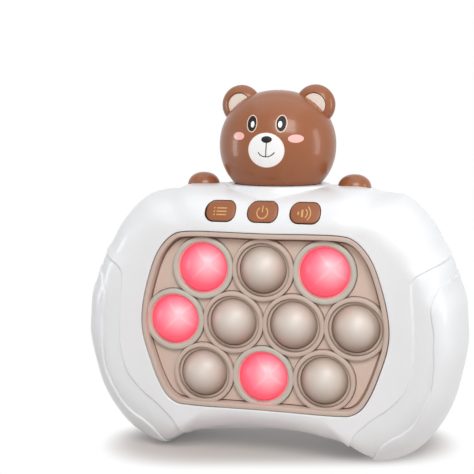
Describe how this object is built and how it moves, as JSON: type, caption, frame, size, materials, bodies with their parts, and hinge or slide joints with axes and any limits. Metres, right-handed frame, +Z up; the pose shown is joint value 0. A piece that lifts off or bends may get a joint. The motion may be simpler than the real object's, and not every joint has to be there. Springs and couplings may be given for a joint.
{
  "type": "electronic bubble pop game",
  "caption": "Handheld electronic bubble pop game: rounded white casing with side grips, push bubbles in a beige tray, round buttons, and a bear head and paws on top.",
  "frame": {"origin": "on the floor plane, midway between left and right and midway between the foremost and rearmost point", "axes": "+Z up towards the bear's head, -Y towards the player (the bubbles face -Y), +X to the player's right"},
  "size_m": [0.172, 0.0566, 0.1648],
  "materials": {
    "casing_white": "gloss",
    "bear_brown": "gloss",
    "ear_cream": "satin",
    "tray_beige": "gloss",
    "bubble_beige": "satin",
    "bubble_lit": "satin, lit from inside",
    "circuit_board": "satin",
    "contact_rubber": "matte",
    "dark_parts": "matte",
    "led_clear": "gloss",
    "steel": "satin",
    "battery_jacket": "gloss",
    "wire_red": "satin"
  },
  "bodies": {
    "casing": {"front_shell": "casing_white", "rear_shell": "casing_white", "left_grip": "casing_white", "right_grip": "casing_white", "head_front": "bear_brown", "head_rear": "bear_brown", "left_ear": "bear_brown", "right_ear": "bear_brown", "left_paw": "bear_brown", "right_paw": "bear_brown", "left_ear_inner": "ear_cream", "right_ear_inner": "ear_cream", "bubble_panel": "tray_beige", "main_board": "circuit_board", "button_board": "circuit_board", "contact_mat": "contact_rubber", "control_chip": "dark_parts", "menu_switch": "dark_parts", "power_switch": "dark_parts", "sound_switch": "dark_parts", "speaker": "dark_parts", "led_01": "led_clear", "led_02": "led_clear", "led_03": "led_clear", "led_04": "led_clear", "led_05": "led_clear", "led_06": "led_clear", "led_07": "led_clear", "led_08": "led_clear", "led_09": "led_clear", "led_10": "led_clear", "battery_contact_left": "steel", "battery_contact_right": "steel", "case_screw_1": "steel", "case_screw_2": "steel", "case_screw_3": "steel", "case_screw_4": "steel", "battery_1": "battery_jacket", "battery_2": "battery_jacket", "battery_3": "battery_jacket", "battery_lead_left": "wire_red", "battery_lead_right": "wire_red", "speaker_lead_left": "wire_red", "speaker_lead_right": "wire_red"},
    "bubble_01": {"bubble_01": "bubble_lit"},
    "bubble_02": {"bubble_02": "bubble_beige"},
    "bubble_03": {"bubble_03": "bubble_lit"},
    "bubble_04": {"bubble_04": "bubble_lit"},
    "bubble_05": {"bubble_05": "bubble_beige"},
    "bubble_06": {"bubble_06": "bubble_beige"},
    "bubble_07": {"bubble_07": "bubble_beige"},
    "bubble_08": {"bubble_08": "bubble_beige"},
    "bubble_09": {"bubble_09": "bubble_lit"},
    "bubble_10": {"bubble_10": "bubble_beige"},
    "menu_button": {"menu_button": "bear_brown"},
    "power_button": {"power_button": "bear_brown"},
    "sound_button": {"sound_button": "bear_brown"},
    "door": {"battery_door": "casing_white", "battery_door_screw": "steel"}
  },
  "joints": [
    {"name": "bubble_01_press", "type": "slide", "parent": "casing", "child": "bubble_01", "axis": [0, 1, 0], "range_m": [0, 0.0028], "stiffness_N_per_m": 800},
    {"name": "bubble_02_press", "type": "slide", "parent": "casing", "child": "bubble_02", "axis": [0, 1, 0], "range_m": [0, 0.0028], "stiffness_N_per_m": 800},
    {"name": "bubble_03_press", "type": "slide", "parent": "casing", "child": "bubble_03", "axis": [0, 1, 0], "range_m": [0, 0.0028], "stiffness_N_per_m": 800},
    {"name": "bubble_04_press", "type": "slide", "parent": "casing", "child": "bubble_04", "axis": [0, 1, 0], "range_m": [0, 0.0028], "stiffness_N_per_m": 800},
    {"name": "bubble_05_press", "type": "slide", "parent": "casing", "child": "bubble_05", "axis": [0, 1, 0], "range_m": [0, 0.0028], "stiffness_N_per_m": 800},
    {"name": "bubble_06_press", "type": "slide", "parent": "casing", "child": "bubble_06", "axis": [0, 1, 0], "range_m": [0, 0.0028], "stiffness_N_per_m": 800},
    {"name": "bubble_07_press", "type": "slide", "parent": "casing", "child": "bubble_07", "axis": [0, 1, 0], "range_m": [0, 0.0028], "stiffness_N_per_m": 800},
    {"name": "bubble_08_press", "type": "slide", "parent": "casing", "child": "bubble_08", "axis": [0, 1, 0], "range_m": [0, 0.0028], "stiffness_N_per_m": 800},
    {"name": "bubble_09_press", "type": "slide", "parent": "casing", "child": "bubble_09", "axis": [0, 1, 0], "range_m": [0, 0.0028], "stiffness_N_per_m": 800},
    {"name": "bubble_10_press", "type": "slide", "parent": "casing", "child": "bubble_10", "axis": [0, 1, 0], "range_m": [0, 0.0028], "stiffness_N_per_m": 800},
    {"name": "menu_button_press", "type": "slide", "parent": "casing", "child": "menu_button", "axis": [0, 1, 0], "range_m": [0, 0.0008], "stiffness_N_per_m": 1500},
    {"name": "power_button_press", "type": "slide", "parent": "casing", "child": "power_button", "axis": [0, 1, 0], "range_m": [0, 0.0008], "stiffness_N_per_m": 1500},
    {"name": "sound_button_press", "type": "slide", "parent": "casing", "child": "sound_button", "axis": [0, 1, 0], "range_m": [0, 0.0008], "stiffness_N_per_m": 1500},
    {"name": "battery_door_hinge", "type": "hinge", "parent": "casing", "child": "door", "pos_m": [0, 0.0257, 0.0674], "axis": [1, 0, 0], "range_deg": [0, 60]}
  ]
}
